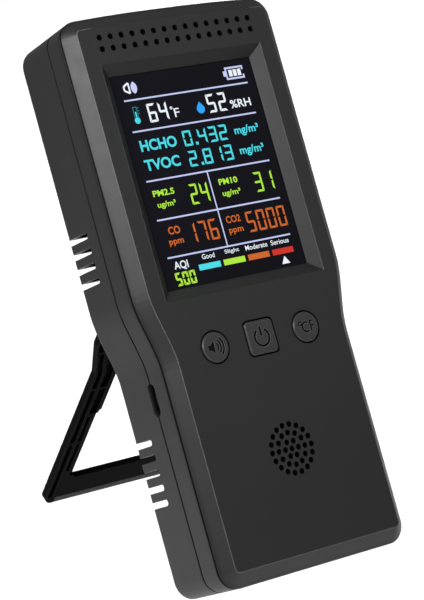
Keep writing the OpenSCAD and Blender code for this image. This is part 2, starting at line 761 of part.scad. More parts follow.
module kickstand() color([0.15, 0.15, 0.155]) stand_placed() {
    inner_y = -(stand_t - barrel_r);
    floor_of = barrel_r - skin_t;
    shoulder_in = shoulder_w / 2 - leg_wide;
    flange_top = 0.1;
    half_rib = rib_t / 2;
    // Stretches of the inner channel, between the ribs and the leg's step
    runs = [
        [rib_spots[0] + half_rib, rib_spots[1] - half_rib],
        [rib_spots[1] + half_rib, rib_spots[2] - half_rib],
        [rib_spots[2] + half_rib, step_s - 0.3],
        [step_s + 0.9, rib_spots[3] - half_rib],
        [rib_spots[3] + half_rib, bar_s - bar_rim]
    ];
    difference() {
        union() {
            slab(inner_y, barrel_r) polygon(stand_outline(0, 0));
            pair() rod_x(0, 0, shoulder_in, shoulder_w / 2, barrel_r);
            pair() block(lug_x[0], lug_x[1], inner_y, 0.2, 0, lug_l);
        }
        pair() rod_x(0, 0, shoulder_in - eps, shoulder_w / 2 + eps, pin_d / 2 + 0.05);
        pair() for (i = [0:3]) slab(inner_y - eps, floor_of)
            polygon(channel(rib_spots[i] + half_rib, rib_spots[i + 1] - half_rib, rim_w, channel_w));
        pair() for (run = runs) slab(inner_y - eps, floor_of) polygon(inner_channel(run[0], run[1]));
        pair() block(shoulder_in - eps, shoulder_in + flange_w, inner_y - eps, flange_top, -step_s, -lug_l);
        pair() block(shoulder_in - eps, stand_w / 2 - leg_narrow + flange_w,
            inner_y - eps, flange_top, -bar_s + inner_corner, -step_s + eps);
        across(-pad_half_w - 0.05, pad_half_w + 0.05) polygon(pad_seat());
        across(-stand_w, stand_w) polygon(round_end());
    }
}

// Point on the table line under the foot, seen from the side in the stand's frame:
// `along` runs backwards from under the foot's centre and `below` is measured down from that centre
function under_foot(along, below) =
    let (turn = open_angle - lean)
    foot_local + along * [cos(turn), -sin(turn)] - below * [sin(turn), cos(turn)];

// What lies beyond the rounded end of the foot
function round_end() =
    let (front = barrel_r - stand_t, back = barrel_r, front_r = 0.4, back_r = 1.4, over = 2)
    concat(
        arc([front + front_r, -stand_l + front_r], front_r, 180, 270, 4),
        arc([back - back_r, -stand_l + back_r], back_r, 270, 360, corner_steps),
        [[back + over, -stand_l + back_r], [back + over, -stand_l - over],
         [front - over, -stand_l - over], [front - over, -stand_l + front_r]]
    );

function pad_seat() = [
    [0.55, -stand_l + 2.6], [0.55, -stand_l - 1], [-stand_t + barrel_r - 1, -stand_l - 1],
    [-stand_t + barrel_r - 1, -stand_l + 2.6]
];

module stand_pad() color([0.07, 0.07, 0.07]) stand_placed() across(-pad_half_w, pad_half_w) polygon([
    [0.55, -stand_l + 2.6], [0.55, -stand_l], under_foot(pad_flat, contact_r), under_foot(-pad_flat, contact_r),
    [-stand_t + barrel_r, -stand_l + 0.8], [-stand_t + barrel_r, -stand_l + 2.6]
]);

module hinge_pins() color([0.75, 0.75, 0.77]) placed() pair() rod_x(hinge_y, hinge_z, 17, 38.4, pin_d / 2);

front_shell();
rear_shell();
grille_mesh();
speaker_mesh();
outlet_mesh();
lens_tape();
screen_lens();
lcd_panel();
lcd_tray();
lcd_ribbon();
button_sound();
button_power();
button_unit();
tact_switches();
main_board();
board_parts();
usb_socket();
battery();
battery_foam();
battery_lead();
speaker();
sensor_board();
board_link();
pm_case();
pm_cover();
pm_fan_rotor();
pm_fan_shaft();
pm_laser();
co2_cell();
co2_filter();
co_cell();
hcho_cell();
tvoc_can();
humidity_chip();
board_screws();
case_screws();
kickstand();
stand_pad();
hinge_pins();
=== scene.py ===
"""Looks of the hand-held air quality monitor: materials, display, key symbols, light and camera."""

import json
import math

import bmesh
import bpy
from mathutils import Matrix, Vector

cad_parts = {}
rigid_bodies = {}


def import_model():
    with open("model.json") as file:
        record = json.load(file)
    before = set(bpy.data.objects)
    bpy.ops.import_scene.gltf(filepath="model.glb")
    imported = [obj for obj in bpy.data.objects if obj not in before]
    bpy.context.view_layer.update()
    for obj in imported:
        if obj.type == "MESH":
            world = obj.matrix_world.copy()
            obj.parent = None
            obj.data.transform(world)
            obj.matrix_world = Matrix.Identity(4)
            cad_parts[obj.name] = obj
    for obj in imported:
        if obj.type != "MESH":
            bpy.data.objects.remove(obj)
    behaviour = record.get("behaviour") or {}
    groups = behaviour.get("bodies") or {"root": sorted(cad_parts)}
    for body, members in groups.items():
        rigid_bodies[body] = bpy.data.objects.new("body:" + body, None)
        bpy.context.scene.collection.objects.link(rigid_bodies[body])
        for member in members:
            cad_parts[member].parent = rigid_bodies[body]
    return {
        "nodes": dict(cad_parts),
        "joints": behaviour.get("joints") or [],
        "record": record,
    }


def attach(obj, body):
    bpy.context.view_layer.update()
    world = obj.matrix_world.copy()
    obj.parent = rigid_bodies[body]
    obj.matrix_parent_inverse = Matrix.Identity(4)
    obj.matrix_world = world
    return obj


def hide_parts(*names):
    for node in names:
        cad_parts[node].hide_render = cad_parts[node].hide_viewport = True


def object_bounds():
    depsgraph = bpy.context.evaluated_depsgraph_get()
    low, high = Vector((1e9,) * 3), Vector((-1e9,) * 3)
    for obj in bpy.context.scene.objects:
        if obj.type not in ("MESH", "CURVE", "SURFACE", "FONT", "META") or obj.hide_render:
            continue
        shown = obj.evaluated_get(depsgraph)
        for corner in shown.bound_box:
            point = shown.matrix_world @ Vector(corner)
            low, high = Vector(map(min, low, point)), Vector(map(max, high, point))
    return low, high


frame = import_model()
cad_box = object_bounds()
MM = 0.001

# ---------- the case's own frame ----------
# x to the right, y from the face to the back, z from the bottom end to the top end, in mm


def case_frame():
    """Matrix from the leaning case's frame, in metres, to the row frame."""
    press = next(j for j in frame["joints"] if j["name"] == "power_press")
    back = Vector(press["axis"]).normalized()
    up = Vector((1, 0, 0)).cross(back)
    points = [v.co for v in frame["nodes"]["front_shell"].data.vertices]
    origin = back * min(p.dot(back) for p in points) + up * min(p.dot(up) for p in points)
    turn = Matrix((Vector((1, 0, 0)), back, up)).transposed().to_4x4()
    return Matrix.Translation(origin) @ turn


CASE = case_frame()


def at_case(x, y, z):
    return CASE @ (Vector((x, y, z)) * MM)


def case_box(node):
    """Lowest and highest corner of a node in the case's frame, in mm."""
    inverse = CASE.inverted()
    points = [inverse @ v.co / MM for v in frame["nodes"][node].data.vertices]
    low = Vector([min(p[i] for p in points) for i in range(3)])
    high = Vector([max(p[i] for p in points) for i in range(3)])
    return low, high


# ---------- materials ----------


class Shader:
    """A node material built step by step round one Principled shader."""

    def __init__(self, name, roughness=0.5, metallic=0.0, specular=0.5):
        self.material = bpy.data.materials.new(name)
        self.material.use_nodes = True
        self.tree = self.material.node_tree
        self.bsdf = self.tree.nodes["Principled BSDF"]
        self.bsdf.inputs["Roughness"].default_value = roughness
        self.bsdf.inputs["Metallic"].default_value = metallic
        self.bsdf.inputs["Specular IOR Level"].default_value = specular
        self.coords = self.node("ShaderNodeTexCoord").outputs["Object"]

    def node(self, kind, **settings):
        made = self.tree.nodes.new(kind)
        for key, value in settings.items():
            setattr(made, key, value)
        return made

    def link(self, start, end):
        self.tree.links.new(start, end)
        return end

    def noise(self, scale, detail=3.0, roughness=0.55):
        texture = self.node("ShaderNodeTexNoise")
        texture.inputs["Scale"].default_value = scale
        texture.inputs["Detail"].default_value = detail
        texture.inputs["Roughness"].default_value = roughness
        self.link(self.coords, texture.inputs["Vector"])
        return texture.outputs["Fac"]

    def cells(self, scale, feature="F1"):
        texture = self.node("ShaderNodeTexVoronoi", feature=feature)
        texture.inputs["Scale"].default_value = scale
        self.link(self.coords, texture.inputs["Vector"])
        return texture.outputs["Distance"]

    def spread(self, value, low, high, from_low=0.0, from_high=1.0):
        """value, stretched from one range to another."""
        fit = self.node("ShaderNodeMapRange")
        for socket, number in zip(
            ("From Min", "From Max", "To Min", "To Max"), (from_low, from_high, low, high)
        ):
            fit.inputs[socket].default_value = number
        self.link(value, fit.inputs["Value"])
        return fit.outputs["Result"]

    def math(self, operation, *values):
        """One Math node; each value is a socket or a number."""
        made = self.node("ShaderNodeMath", operation=operation)
        for value, socket in zip(values, made.inputs):
            if isinstance(value, (int, float)):
                socket.default_value = value
            else:
                self.link(value, socket)
        return made.outputs[0]

    def times(self, a, b):
        return self.math("MULTIPLY", a, b)

    def along(self, axis):
        """Position along one axis of the case's frame, in mm."""
        direction = CASE.to_3x3() @ Vector(axis)
        dot = self.node("ShaderNodeVectorMath", operation="DOT_PRODUCT")
        dot.inputs[1].default_value = direction
        self.link(self.coords, dot.inputs[0])
        start = CASE.translation.dot(direction)
        return self.times(self.math("SUBTRACT", dot.outputs["Value"], start), 1 / MM)

    def mix(self, fac, a, b):
        """Colour a where fac is 0 and b where it is 1; either may be a socket."""
        blend = self.node("ShaderNodeMix", data_type="RGBA")
        self.link(fac, blend.inputs["Factor"])
        for name, value in (("A", a), ("B", b)):
            socket = next(s for s in blend.inputs if s.name == name and s.type == "RGBA")
            if isinstance(value, tuple):
                socket.default_value = (*value, 1)
            else:
                self.link(value, socket)
        return next(s for s in blend.outputs if s.type == "RGBA")

    def edges(self, radius, low=0.0, high=0.12):
        """Rounded-edge normal, and a mask that is 1 on the sharp edges."""
        bevel = self.node("ShaderNodeBevel", samples=6)
        bevel.inputs["Radius"].default_value = radius
        flat = self.node("ShaderNodeNewGeometry").outputs["Normal"]
        dot = self.node("ShaderNodeVectorMath", operation="DOT_PRODUCT")
        self.link(bevel.outputs["Normal"], dot.inputs[0])
        self.link(flat, dot.inputs[1])
        mask = self.spread(dot.outputs["Value"], 1.0, 0.0, 1 - high, 1 - low)
        return bevel.outputs["Normal"], mask

    def openness(self, reach):
        """1 on open surfaces, falling to 0 inside gaps and grooves narrower than reach."""
        sky = self.node("ShaderNodeAmbientOcclusion", samples=6)
        sky.inputs["Distance"].default_value = reach
        return self.spread(sky.outputs["AO"], 0, 1, 0.35, 0.85)

    def bump(self, height, distance, strength=1.0, normal=None):
        made = self.node("ShaderNodeBump")
        made.inputs["Distance"].default_value = distance
        made.inputs["Strength"].default_value = strength
        self.link(height, made.inputs["Height"])
        if normal is not None:
            self.link(normal, made.inputs["Normal"])
        return made.outputs["Normal"]

    def finish(self, colour=None, roughness=None, normal=None):
        for value, socket in ((colour, "Base Color"), (roughness, "Roughness"), (normal, "Normal")):
            if isinstance(value, tuple):
                self.bsdf.inputs[socket].default_value = (*value, 1)
            elif value is not None:
                self.link(value, self.bsdf.inputs[socket])
        return self.material


def scaled(colour, factor):
    return tuple(min(c * factor, 1.0) for c in colour)


# The edge factor sets how much lighter the painted highlight on the sharp edges is.
def moulded(
    name, colour, roughness=0.46, grain=0.012, edge=0.4, edge_highlight=12.0, clouds=0.14, specular=0.3, shell=False
):
    """Spark-eroded moulded plastic: fine grain, slight clouding, a painted highlight along the sharp edges,
    painted shade in gaps and grooves.
    """
    s = Shader(name, specular=specular)
    soft, mask = s.edges(edge * MM, 0.0, 0.05)
    unshaded = s.openness(1.0 * MM)
    clouded = s.mix(s.noise(38, 4), scaled(colour, 1 - clouds), scaled(colour, 1 + clouds))
    speckled = s.mix(s.spread(s.noise(2600, 2), 0, 1, 0.35, 0.7), clouded, scaled(colour, 1.25))
    # Painted highlight along the sharp edges, kept out of gaps and broken up by noise.
    highlight_mask = s.times(s.times(mask, unshaded), s.spread(s.noise(420, 4), 0.6, 1.0, 0.35, 0.7))
    if shell:
        highlight_mask = s.times(highlight_mask, highlighted_edges(s))
        unshaded = s.times(unshaded, painted_seam_shade(s))
    # Painted shade: the colour falls to a tenth in gaps, grooves and beside the seam; the painted edge
    # highlight goes on top.
    shade = s.mix(highlight_mask, s.mix(unshaded, scaled(colour, 0.1), speckled), scaled(colour, edge_highlight))
    rough = s.spread(s.noise(160, 5), roughness - 0.05, roughness + 0.06)
    return s.finish(shade, rough, s.bump(s.noise(3200, 3), grain * MM, 0.8, soft))


def highlighted_edges(s):
    """1 on the rim of the face and of the screen opening, which gets the painted edge highlight, and 0
    elsewhere.
    """
    rim_x, rim_z, depth = 30.2, 6.0, 2.0
    across = s.spread(s.math("ABSOLUTE", s.along((1, 0, 0))), 0, 1, rim_x, rim_x + 0.3)
    ends = s.spread(s.along((0, 0, 1)), 1, 0, rim_z, rim_z + 0.3)
    return s.times(s.math("MAXIMUM", across, ends), s.spread(s.along((0, 1, 0)), 1, 0, depth, depth + 0.2))


def painted_seam_shade(s):
    """Falls below 1 beside the seam, behind the bevel and inside the face's holes, to paint shade there."""
    depth = s.along((0, 1, 0))
    rear_rim = 12.9
    seam = (case_box("front_shell")[1].y + rear_rim) / 2
    beside_seam = s.spread(s.math("ABSOLUTE", s.math("SUBTRACT", depth, seam)), 0.15, 1, 0.35, 0.75)
    groove = 4.3
    beside_groove = s.spread(s.math("ABSOLUTE", s.math("SUBTRACT", depth, groove)), 0.25, 1, 0.3, 1.7)
    flat = s.node("ShaderNodeVectorMath", operation="DOT_PRODUCT")
    flat.inputs[1].default_value = CASE.to_3x3() @ Vector((0, 1, 0))
    s.link(s.node("ShaderNodeNewGeometry").outputs["Normal"], flat.inputs[0])
    sideways = s.spread(s.math("ABSOLUTE", flat.outputs["Value"]), 1, 0, 0.1, 0.25)
    hole_depth = 3.3
    hole_wall = s.times(sideways, s.spread(depth, 1, 0, hole_depth, hole_depth + 0.2))
    return s.times(s.math("SUBTRACT", 1.0, hole_wall), s.math("MINIMUM", beside_seam, beside_groove))


def glossy(name, colour, roughness=0.25, clouds=0.12, ripple=0.01):
    """Smooth moulded or coated surface with faint unevenness."""
    s = Shader(name)
    soft, _ = s.edges(0.12 * MM)
    shade = s.mix(s.noise(160, 4), scaled(colour, 1 - clouds), scaled(colour, 1 + clouds))
    rough = s.spread(s.noise(420, 4), roughness - 0.06, roughness + 0.08)
    return s.finish(shade, rough, s.bump(s.noise(700, 2), ripple * MM, 0.6, soft))


def metal(name, colour, roughness=0.32, brushed=0.006):
    """Plated or rolled metal with fine scratches and duller patches."""
    s = Shader(name, metallic=1.0)
    soft, mask = s.edges(0.1 * MM)
    shade = s.mix(s.noise(240, 5), scaled(colour, 0.82), scaled(colour, 1.08))
    shade = s.mix(mask, shade, scaled(colour, 1.2))
    rough = s.spread(s.noise(900, 6), roughness - 0.1, roughness + 0.14)
    return s.finish(shade, rough, s.bump(s.noise(2400, 4), brushed * MM, 0.7, soft))


def woven(name, colour, pitch=0.55, roughness=0.85):
    """Dust cloth or wire mesh: small cells with raised threads."""
    s = Shader(name, roughness)
    cells = s.cells(1 / (pitch * MM))
    shade = s.mix(s.spread(cells, 0, 1, 0.1, 0.5), scaled(colour, 1.5), scaled(colour, 0.4))
    rough = s.spread(s.noise(800, 3), roughness - 0.1, roughness + 0.05)
    return s.finish(shade, rough, s.bump(cells, 0.08 * MM, 0.9))


def rubbery(name, colour, roughness=0.72):
    """Matt rubber or foam with fine pores."""
    s = Shader(name)
    soft, mask = s.edges(0.2 * MM)
    shade = s.mix(s.noise(300, 4), scaled(colour, 0.8), scaled(colour, 1.25))
    shade = s.mix(mask, shade, scaled(colour, 1.7))
    rough = s.spread(s.noise(500, 3), roughness - 0.08, roughness + 0.08)
    return s.finish(shade, rough, s.bump(s.cells(2600), 0.02 * MM, 0.7, soft))


def circuit(name, colour):
    """Solder mask over copper tracks."""
    s = Shader(name)
    tracks = s.cells(260, "DISTANCE_TO_EDGE")
    shade = s.mix(s.spread(tracks, 1, 0, 0.02, 0.08), colour, scaled(colour, 1.9))
    rough = s.spread(s.noise(600, 3), 0.28, 0.42)
    return s.finish(shade, rough, s.bump(tracks, 0.03 * MM, 0.4))


def lens_glass():
    """Cover glass, black behind, with a faint film of finger grease."""
    s = Shader("screen_glass", specular=0.16)
    tint = s.mix(s.noise(26, 3), (0.0045, 0.0045, 0.0080), (0.0062, 0.0062, 0.0105))
    rough = s.spread(s.noise(70, 6, 0.65), 0.16, 0.3)
    return s.finish(tint, rough, s.bump(s.noise(14, 2), 0.004 * MM, 0.3))


def lit(name, colour, strength):
    """Lit part of the display: bright dots in a fine grid, under the same glass."""
    s = Shader(name, 0.2)
    dots = s.spread(s.cells(1 / (0.16 * MM)), 1.06, 0.92, 0.1, 0.6)
    drift = s.spread(s.noise(45, 3), 0.94, 1.06)
    s.bsdf.inputs["Emission Color"].default_value = (*colour, 1)
    level = s.node("ShaderNodeMath", operation="MULTIPLY")
    level.inputs[1].default_value = strength
    s.link(s.times(dots, drift), level.inputs[0])
    s.link(level.outputs[0], s.bsdf.inputs["Emission Strength"])
    shade = s.mix(s.noise(300, 2), scaled(colour, 0.015), scaled(colour, 0.03))
    return s.finish(shade, s.spread(s.noise(90, 4), 0.14, 0.26))


def engraving_shade():
    """Near-black fill of the pressed-in symbols on the keys, painted shade inside the engraved strokes."""
    s = Shader("symbol_shade", specular=0.1)
    shade = s.mix(s.noise(900, 3), (0.002, 0.002, 0.002), (0.004, 0.004, 0.004))
    return s.finish(shade, s.spread(s.noise(1200, 3), 0.45, 0.65), s.bump(s.noise(3000, 2), 0.01 * MM))


CHARCOAL = (0.0174, 0.0174, 0.0177)
FINISHES = {
    "case_plastic": moulded("case_plastic", CHARCOAL, shell=True),
    "stand_plastic": moulded("stand_plastic", (0.0025, 0.0025, 0.0026), 0.6, edge_highlight=9.0, specular=0.02),
    "button_plastic": moulded(
        "button_plastic", (0.0215, 0.0215, 0.0218), 0.4, edge=0.25, edge_highlight=9.0, specular=0.45
    ),
    "mesh_cloth": woven("mesh_cloth", (0.004, 0.004, 0.004)),
    "steel_mesh": woven("steel_mesh", (0.16, 0.16, 0.165), 0.8, 0.4),
    "black_tape": rubbery("black_tape", (0.008, 0.008, 0.008)),
    "screen_glass": lens_glass(),
    "lcd_glass": glossy("lcd_glass", (0.006, 0.006, 0.012), 0.15),
    "white_plastic": glossy("white_plastic", (0.72, 0.71, 0.68), 0.38),
    "flex_film": glossy("flex_film", (0.36, 0.13, 0.02), 0.3),
    "plated_steel": metal("plated_steel", (0.55, 0.55, 0.56)),
    "board_green": circuit("board_green", (0.006, 0.055, 0.022)),
    "chip_black": glossy("chip_black", (0.012, 0.012, 0.013), 0.42),
    "battery_foil": metal("battery_foil", (0.6, 0.61, 0.63), 0.38, 0.03),
    "black_foam": rubbery("black_foam", (0.012, 0.012, 0.012), 0.9),
    "red_wire": glossy("red_wire", (0.4, 0.012, 0.008), 0.35),
    "speaker_black": metal("speaker_black", (0.03, 0.03, 0.03), 0.5),
    "sensor_black": moulded("sensor_black", (0.012, 0.014, 0.02), 0.4),
    "fan_black": moulded("fan_black", (0.008, 0.008, 0.009), 0.38, edge_highlight=3.0),
    "brass_can": metal("brass_can", (0.62, 0.42, 0.14), 0.28),
    "gold_can": metal("gold_can", (0.72, 0.5, 0.18), 0.3),
    "white_filter": woven("white_filter", (0.6, 0.6, 0.58), 0.35, 0.9),
    "black_screw": metal("black_screw", (0.05, 0.05, 0.052), 0.42),
    "pad_rubber": rubbery("pad_rubber", (0.010, 0.010, 0.010)),
}
USB_STEEL = metal("usb_steel", (0.012, 0.012, 0.0125), 0.6)
# Near-black fill that paints shade into the engraved key symbols.
ENGRAVING_SHADE = engraving_shade()


def dress_cad_nodes():
    for part in frame["record"]["subparts"]:
        mesh = frame["nodes"][part["node"]].data
        mesh.materials.clear()
        mesh.materials.append(FINISHES[part["material_slot"]])
    socket = frame["nodes"]["usb_socket"].data
    socket.materials.clear()
    socket.materials.append(USB_STEEL)


# ---------- flat shapes on the display ----------
# Shapes are lists of outlines in the case's x and z, in mm

INK_LIFT = 0.015
INK_Y = case_box("screen_lens")[0].y - INK_LIFT


class Ink:
    """Collects flat outlines of one colour and makes them one thin piece on the glass."""

    def __init__(self, name, colour, strength):
        self.name = name
        self.material = lit(name, colour, strength)
        self.mesh = bmesh.new()

    def outline(self, points):
        made = [self.mesh.verts.new(at_case(x, INK_Y, z)) for x, z in points]
        face = self.mesh.faces.new(made)
        face.normal_update()
        if face.normal.dot(CASE.to_3x3() @ Vector((0, -1, 0))) < 0:
            face.normal_flip()

    def bar(self, x0, z0, x1, z1, width):
        """A straight stroke with square ends."""
        along = Vector((x1 - x0, z1 - z0)).normalized() * (width / 2)
        side = Vector((-along.y, along.x))
        self.outline([
            (x0 + side.x, z0 + side.y), (x0 - side.x, z0 - side.y),
            (x1 - side.x, z1 - side.y), (x1 + side.x, z1 + side.y),
        ])

    def box(self, x0, x1, z0, z1):
        self.outline([(x0, z0), (x1, z0), (x1, z1), (x0, z1)])

    def frame(self, x0, x1, z0, z1, width):
        self.box(x0, x1, z0, z0 + width)
        self.box(x0, x1, z1 - width, z1)
        self.box(x0, x0 + width, z0 + width, z1 - width)
        self.box(x1 - width, x1, z0 + width, z1 - width)

    def ring(self, x, z, inner, outer, start=0, end=360, steps=28):
        """Part of a ring between two angles, in degrees."""
        for i in range(steps):
            a, b = (math.radians(start + (end - start) * k / steps) for k in (i, i + 1))
            self.outline([
                (x + r * math.cos(t), z + r * math.sin(t))
                for r, t in ((inner, a), (outer, a), (outer, b), (inner, b))
            ])

    def disc(self, x, z, radius, steps=24):
        self.outline([
            (x + radius * math.cos(t), z + radius * math.sin(t))
            for t in (2 * math.pi * i / steps for i in range(steps))
        ])

    def words(self, text, x0, x1, z0, z1, weight=0.0):
        """Text in the built-in font, stretched to fill a box."""
        curve = bpy.data.curves.new("words", "FONT")
        curve.body = text
        curve.offset = weight
        curve.resolution_u = 3
        holder = bpy.data.objects.new("words", curve)
        bpy.context.scene.collection.objects.link(holder)
        bpy.context.view_layer.update()
        flat = holder.evaluated_get(bpy.context.evaluated_depsgraph_get()).to_mesh()
        low = [min(v.co[i] for v in flat.vertices) for i in (0, 1)]
        high = [max(v.co[i] for v in flat.vertices) for i in (0, 1)]
        size_x, size_z = (x1 - x0) / (high[0] - low[0]), (z1 - z0) / (high[1] - low[1])
        made = [
            self.mesh.verts.new(at_case(
                x0 + (v.co.x - low[0]) * size_x, INK_Y, z0 + (v.co.y - low[1]) * size_z
            ))
            for v in flat.vertices
        ]
        for polygon in flat.polygons:
            self.mesh.faces.new([made[i] for i in polygon.vertices])
        bpy.data.objects.remove(holder)
        bpy.data.curves.remove(curve)

    def place(self):
        data = bpy.data.meshes.new(self.name)
        self.mesh.to_mesh(data)
        self.mesh.free()
        data.materials.append(self.material)
        piece = bpy.data.objects.new(self.name, data)
        bpy.context.scene.collection.objects.link(piece)
        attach(piece, "case")


# Lit bars of each figure: top, top right, bottom right, bottom, bottom left, top left, middle
FIGURES = {
    "0": "abcdef", "1": "bc", "2": "abged", "3": "abgcd", "4": "fgbc",
    "5": "afgcd", "6": "afgecd", "7": "abc", "8": "abcdefg",
}


def figure(ink, digit, x0, z0, w, h, t):
    """One seven-bar figure with its lower left corner at x0, z0; t is the stroke."""
    gap, cut = 0.055, t * 0.5
    mid = z0 + h / 2
    x1, z1 = x0 + w, z0 + h

    def level(z, low_cut, high_cut):
        """Horizontal bar between two heights, with slanted ends."""
        a, b = z
        ink.outline([
            (x0 + gap + low_cut, a), (x1 - gap - low_cut, a),
            (x1 - gap - high_cut, b), (x0 + gap + high_cut, b),
        ])

    def upright(side, a, b, inner_low, inner_high):
        """Vertical bar on one side, from height a to height b, with slanted ends."""
        out, inn = (x0, x0 + t) if side == "left" else (x1, x1 - t)
        ink.outline([
            (out, a + gap), (inn, a + gap + inner_low), (inn, b - gap - inner_high), (out, b - gap),
        ])

    for bar in FIGURES[digit]:
        if bar == "a":
            level((z1 - t, z1), t, cut * 0.3)
        elif bar == "d":
            level((z0, z0 + t), cut * 0.3, t)
        elif bar == "g":
            ink.outline([
                (x0 + gap + cut, mid - t / 2), (x1 - gap - cut, mid - t / 2), (x1 - gap * 2, mid),
                (x1 - gap - cut, mid + t / 2), (x0 + gap + cut, mid + t / 2), (x0 + gap * 2, mid),
            ])
        elif bar == "b":
            upright("right", mid, z1, cut, t)
        elif bar == "c":
            upright("right", z0, mid, t, cut)
        elif bar == "e":
            upright("left", z0, mid, t, cut)
        elif bar == "f":
            upright("left", mid, z1, cut, t)


def number(ink, text, x0, x1, z0, z1, stroke, width):
    """A reading of seven-bar figures between x0 and x1, each `width` wide; a dot takes its own space."""
    dot_space, dot, dot_margin = 1.65, 0.95, 0.45
    pitch = (x1 - x0 - width - dot_space * text.count(".")) / (len(text) - 1 - text.count("."))
    x = x0
    for c in text:
        if c == ".":
            right = x + dot_space - dot_margin
            ink.box(right - dot, right, z0, z0 + dot)
            x += dot_space
        else:
            figure(ink, c, x, z0, width, z1 - z0, stroke)
            x += pitch


DISPLAY_LEFT, DISPLAY_RIGHT = -23.7, 23.9
DIVIDERS = (152.8, 142.8, 126.9, 114.45, 102.45)
MIDDLE_X = -0.7
DIVIDER_HALF, MIDDLE_HALF = 0.25, 0.22
SCALE_COLOURS = ("cyan", "green", "orange", "red")
SCALE_LENGTH = 8.3


def draw_display():
    inks = {
        "white": Ink("display_white", (0.58, 0.63, 0.95), 1.0),
        "plain": Ink("display_figures", (0.86, 0.92, 1.0), 1.0),
        "cyan": Ink("display_cyan", (0.07, 0.72, 0.82), 1.0),
        "blue": Ink("display_blue", (0.02, 0.38, 0.95), 1.0),
        "teal": Ink("display_teal", (0.015, 0.20, 0.24), 1.0),
        "green": Ink("display_green", (0.44, 0.84, 0.045), 1.0),
        "orange": Ink("display_orange", (0.62, 0.13, 0.018), 1.0),
        "red": Ink("display_red", (0.62, 0.028, 0.018), 1.0),
    }
    white, plain, cyan, green, orange = (inks[c] for c in ("white", "plain", "cyan", "green", "orange"))
    for z in DIVIDERS:
        white.box(DISPLAY_LEFT, DISPLAY_RIGHT, z - DIVIDER_HALF, z + DIVIDER_HALF)
    white.box(
        MIDDLE_X - MIDDLE_HALF, MIDDLE_X + MIDDLE_HALF, DIVIDERS[4] + DIVIDER_HALF, DIVIDERS[2] - DIVIDER_HALF
    )
    draw_status(plain, white)
    draw_climate(inks)

    for name, left, right, rise, reading, low in (
        ("HCHO", -22.4, -8.7, 0.55, "0.432", 135.7), ("TVOC", -22.65, -9.4, 0.95, "2.813", 129.1),
    ):
        cyan.words(name, left, right, low + rise, low + rise + 3.6, 0.03)
        number(cyan, reading, -6.07, 10.9, low, low + 5.0, 0.68, 3.2)
        cyan.words("mg/m³", 13.7, 23.2, low + 0.4, low + 3.8, 0.022)

    green.words("PM2.5", -22.6, -14.6, 121.8, 123.8, 0.03)
    green.words("ug/m³", -22.0, -15.1, 117.7, 120.1, 0.022)
    number(green, "24", -9.15, -2.2, 117.3, 123.8, 0.68, 2.95)
    green.words("PM10", 2.5, 9.75, 121.8, 123.8, 0.03)
    green.words("ug/m³", 2.8, 9.8, 117.6, 120.0, 0.022)
    number(green, "31", 15.85, 23.15, 117.5, 123.9, 0.68, 3.1)

    orange.words("CO", -20.8, -16.3, 109.4, 111.9, 0.025)
    orange.words("ppm", -21.5, -16.05, 105.7, 107.7, 0.022)
    number(orange, "176", -13.9, -2.5, 105.35, 111.9, 0.68, 3.1)
    orange.words("CO2", 1.3, 6.8, 109.5, 111.8, 0.02)
    orange.words("ppm", 1.4, 6.95, 105.7, 107.7, 0.018)
    number(orange, "5000", 8.9, 24.2, 105.4, 112.0, 0.68, 3.1)

    plain.words("AQI", -22.1, -16.8, 98.1, 101.0, 0.02)
    number(green, "500", -22.75, -15.25, 93.3, 97.5, 0.7, 2.2)
    starts = (-13.27, -3.77, 5.73, 15.23)
    labels = (("Good", -8.85, 4.8), ("Slight", 0.35, 5.6), ("Moderate", 9.85, 8.6), ("Serious", 19.1, 7.1))
    for start, colour, (label, middle, width) in zip(starts, SCALE_COLOURS, labels):
        inks[colour].box(start, start + SCALE_LENGTH, 96.75, 98.6)
        plain.words(label, middle - width / 2, middle + width / 2, 100.0, 101.6, 0.012)
    plain.outline([(17.8, 93.5), (21.0, 93.5), (19.35, 96.0)])
    for ink in inks.values():
        ink.place()


def draw_status(plain, white):
    """Speaker and battery symbols at the top of the display."""
    cone = [(-22.5, 156.0), (-22.5, 157.3), (-20.65, 158.3), (-20.65, 155.0)]
    cone_stroke = 0.6
    for a, b in zip(cone, cone[1:] + cone[:1]):
        plain.bar(*a, *b, cone_stroke)
    sound_x, sound_z, bulge, reach = -18.85, 156.6, 1.15, 1.95
    radius = (bulge ** 2 + reach ** 2) / (2 * bulge)
    sweep = math.degrees(math.asin(reach / radius))
    sides = []
    for side in (0, 180):
        offset = (bulge - radius) * math.cos(math.radians(side))
        for i in range(8):
            t = math.radians(side - sweep + 2 * sweep * i / 8)
            sides.append((sound_x + offset + radius * math.cos(t), sound_z + radius * math.sin(t)))
    white.outline(sides)
    left, right, low, high, stroke = 16.4, 23.5, 154.5, 158.65, 0.6
    white.box(left, right, low, low + stroke)
    white.box(left, right, high - stroke, high)
    white.box(left, left + stroke, low + stroke, high - stroke)
    corner, tip, charge = 1.3, 0.9, 1.35
    white.box(right - stroke, right, low + stroke, low + corner)
    white.box(right - stroke, right, high - corner, high - stroke)
    white.box(left - tip, left, 155.7, 157.45)
    for x in (17.7, 19.4, 21.1):
        plain.box(x, x + charge, 155.5, 157.65)


